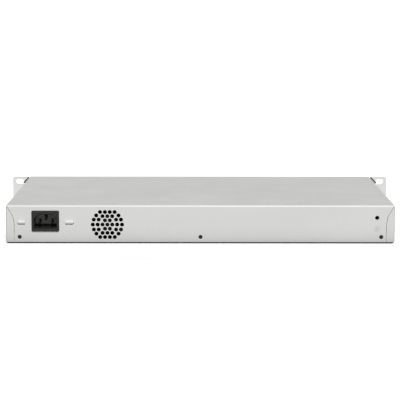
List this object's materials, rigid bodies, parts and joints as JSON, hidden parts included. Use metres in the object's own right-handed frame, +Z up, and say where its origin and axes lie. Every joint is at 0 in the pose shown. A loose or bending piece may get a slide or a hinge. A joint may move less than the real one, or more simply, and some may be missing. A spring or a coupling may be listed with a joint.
{
  "type": "rackmount network switch",
  "caption": "One-unit rackmount network switch in a folded steel case with rack ears, front network ports, and a mains inlet and fan grille at the rear.",
  "frame": {"origin": "middle of the underside, centred on width and depth", "axes": "+X across the width to the right as seen from the ports, +Y from the front panel to the rear panel, +Z up"},
  "size_m": [0.4826, 0.254, 0.044],
  "materials": {
    "case_paint": "fine satin powder coat, light silver grey",
    "ear_paint": "fine satin powder coat, light silver grey",
    "dark_steel": "black zinc",
    "zinc_steel": "bright zinc",
    "tin_plate": "tin plate, semi-gloss",
    "inlet_plastic": "fine moulded texture",
    "pin_metal": "nickel-plated brass",
    "fan_plastic": "moulded, low sheen",
    "bearing_bronze": "sintered bronze",
    "winding": "enamelled copper wire and tape",
    "ferrite": "matt fired ferrite",
    "circuit_board": "green solder mask over glass laminate",
    "power_board": "tan paper laminate",
    "insulator_sheet": "translucent film",
    "jack_plastic": "moulded, low sheen",
    "contact_gold": "gold flash",
    "clear_guide": "clear polycarbonate, frosted end",
    "button_plastic": "moulded",
    "chip_epoxy": "moulded epoxy",
    "heatsink": "extruded, anodised",
    "capacitor_can": "shrink sleeve on an aluminium can",
    "film_capacitor": "moulded box",
    "fuse_glass": "glass tube with metal caps",
    "socket_nylon": "natural nylon",
    "lead_insulation": "wire insulation"
  },
  "bodies": {
    "chassis": {"base_pan": "case_paint", "board_capacitors": "capacitor_can", "board_inductors": "ferrite", "board_screws": "zinc_steel", "board_sockets": "socket_nylon", "board_standoffs": "zinc_steel", "bridge_rectifier": "chip_epoxy", "bulk_capacitor": "capacitor_can", "ear_nuts": "zinc_steel", "ear_screws": "dark_steel", "fan_bearing": "bearing_bronze", "fan_bracket": "zinc_steel", "fan_frame": "fan_plastic", "fan_lead": "lead_insulation", "fan_screws": "zinc_steel", "fan_stator": "winding", "filter_capacitors": "film_capacitor", "front_panel": "case_paint", "ground_nut": "zinc_steel", "inlet_housing": "inlet_plastic", "inlet_leads": "lead_insulation", "inlet_pins": "pin_metal", "jack_contacts": "contact_gold", "jack_housing_left": "jack_plastic", "jack_housing_right": "jack_plastic", "jack_shield_left": "tin_plate", "jack_shield_right": "tin_plate", "light_guide_left": "clear_guide", "light_guide_right": "clear_guide", "main_board": "circuit_board", "mains_choke": "ferrite", "mains_fuse": "fuse_glass", "memory_chips": "chip_epoxy", "output_capacitors": "capacitor_can", "output_leads": "lead_insulation", "panel_screws": "dark_steel", "port_chips": "chip_epoxy", "port_transformers": "chip_epoxy", "power_board": "power_board", "power_heatsinks": "heatsink", "power_insulator": "insulator_sheet", "power_sockets": "socket_nylon", "power_transistors": "chip_epoxy", "rack_ear_left": "ear_paint", "rack_ear_right": "ear_paint", "rear_cover_screws": "dark_steel", "reset_switch": "jack_plastic", "status_light": "clear_guide", "switch_chip": "chip_epoxy", "switch_heatsink": "heatsink", "top_cover": "case_paint", "transceiver_cages": "tin_plate", "transceiver_connectors": "jack_plastic", "transformer_core": "ferrite", "transformer_winding": "winding"},
    "fan_wheel": {"fan_rotor": "fan_plastic", "fan_shaft": "zinc_steel", "fan_magnet": "ferrite"},
    "reset_button": {"reset_plunger": "button_plastic"}
  },
  "joints": [
    {"name": "fan_spin", "type": "hinge", "parent": "chassis", "child": "fan_wheel", "pos_m": [0.1052, 0.112, 0.0218], "axis": [0, 1, 0], "continuous": true},
    {"name": "reset_press", "type": "slide", "parent": "chassis", "child": "reset_button", "axis": [0, 1, 0], "range_m": [0, 0.0005], "stiffness_N_per_m": 2000, "springref_m": -0.0003}
  ]
}
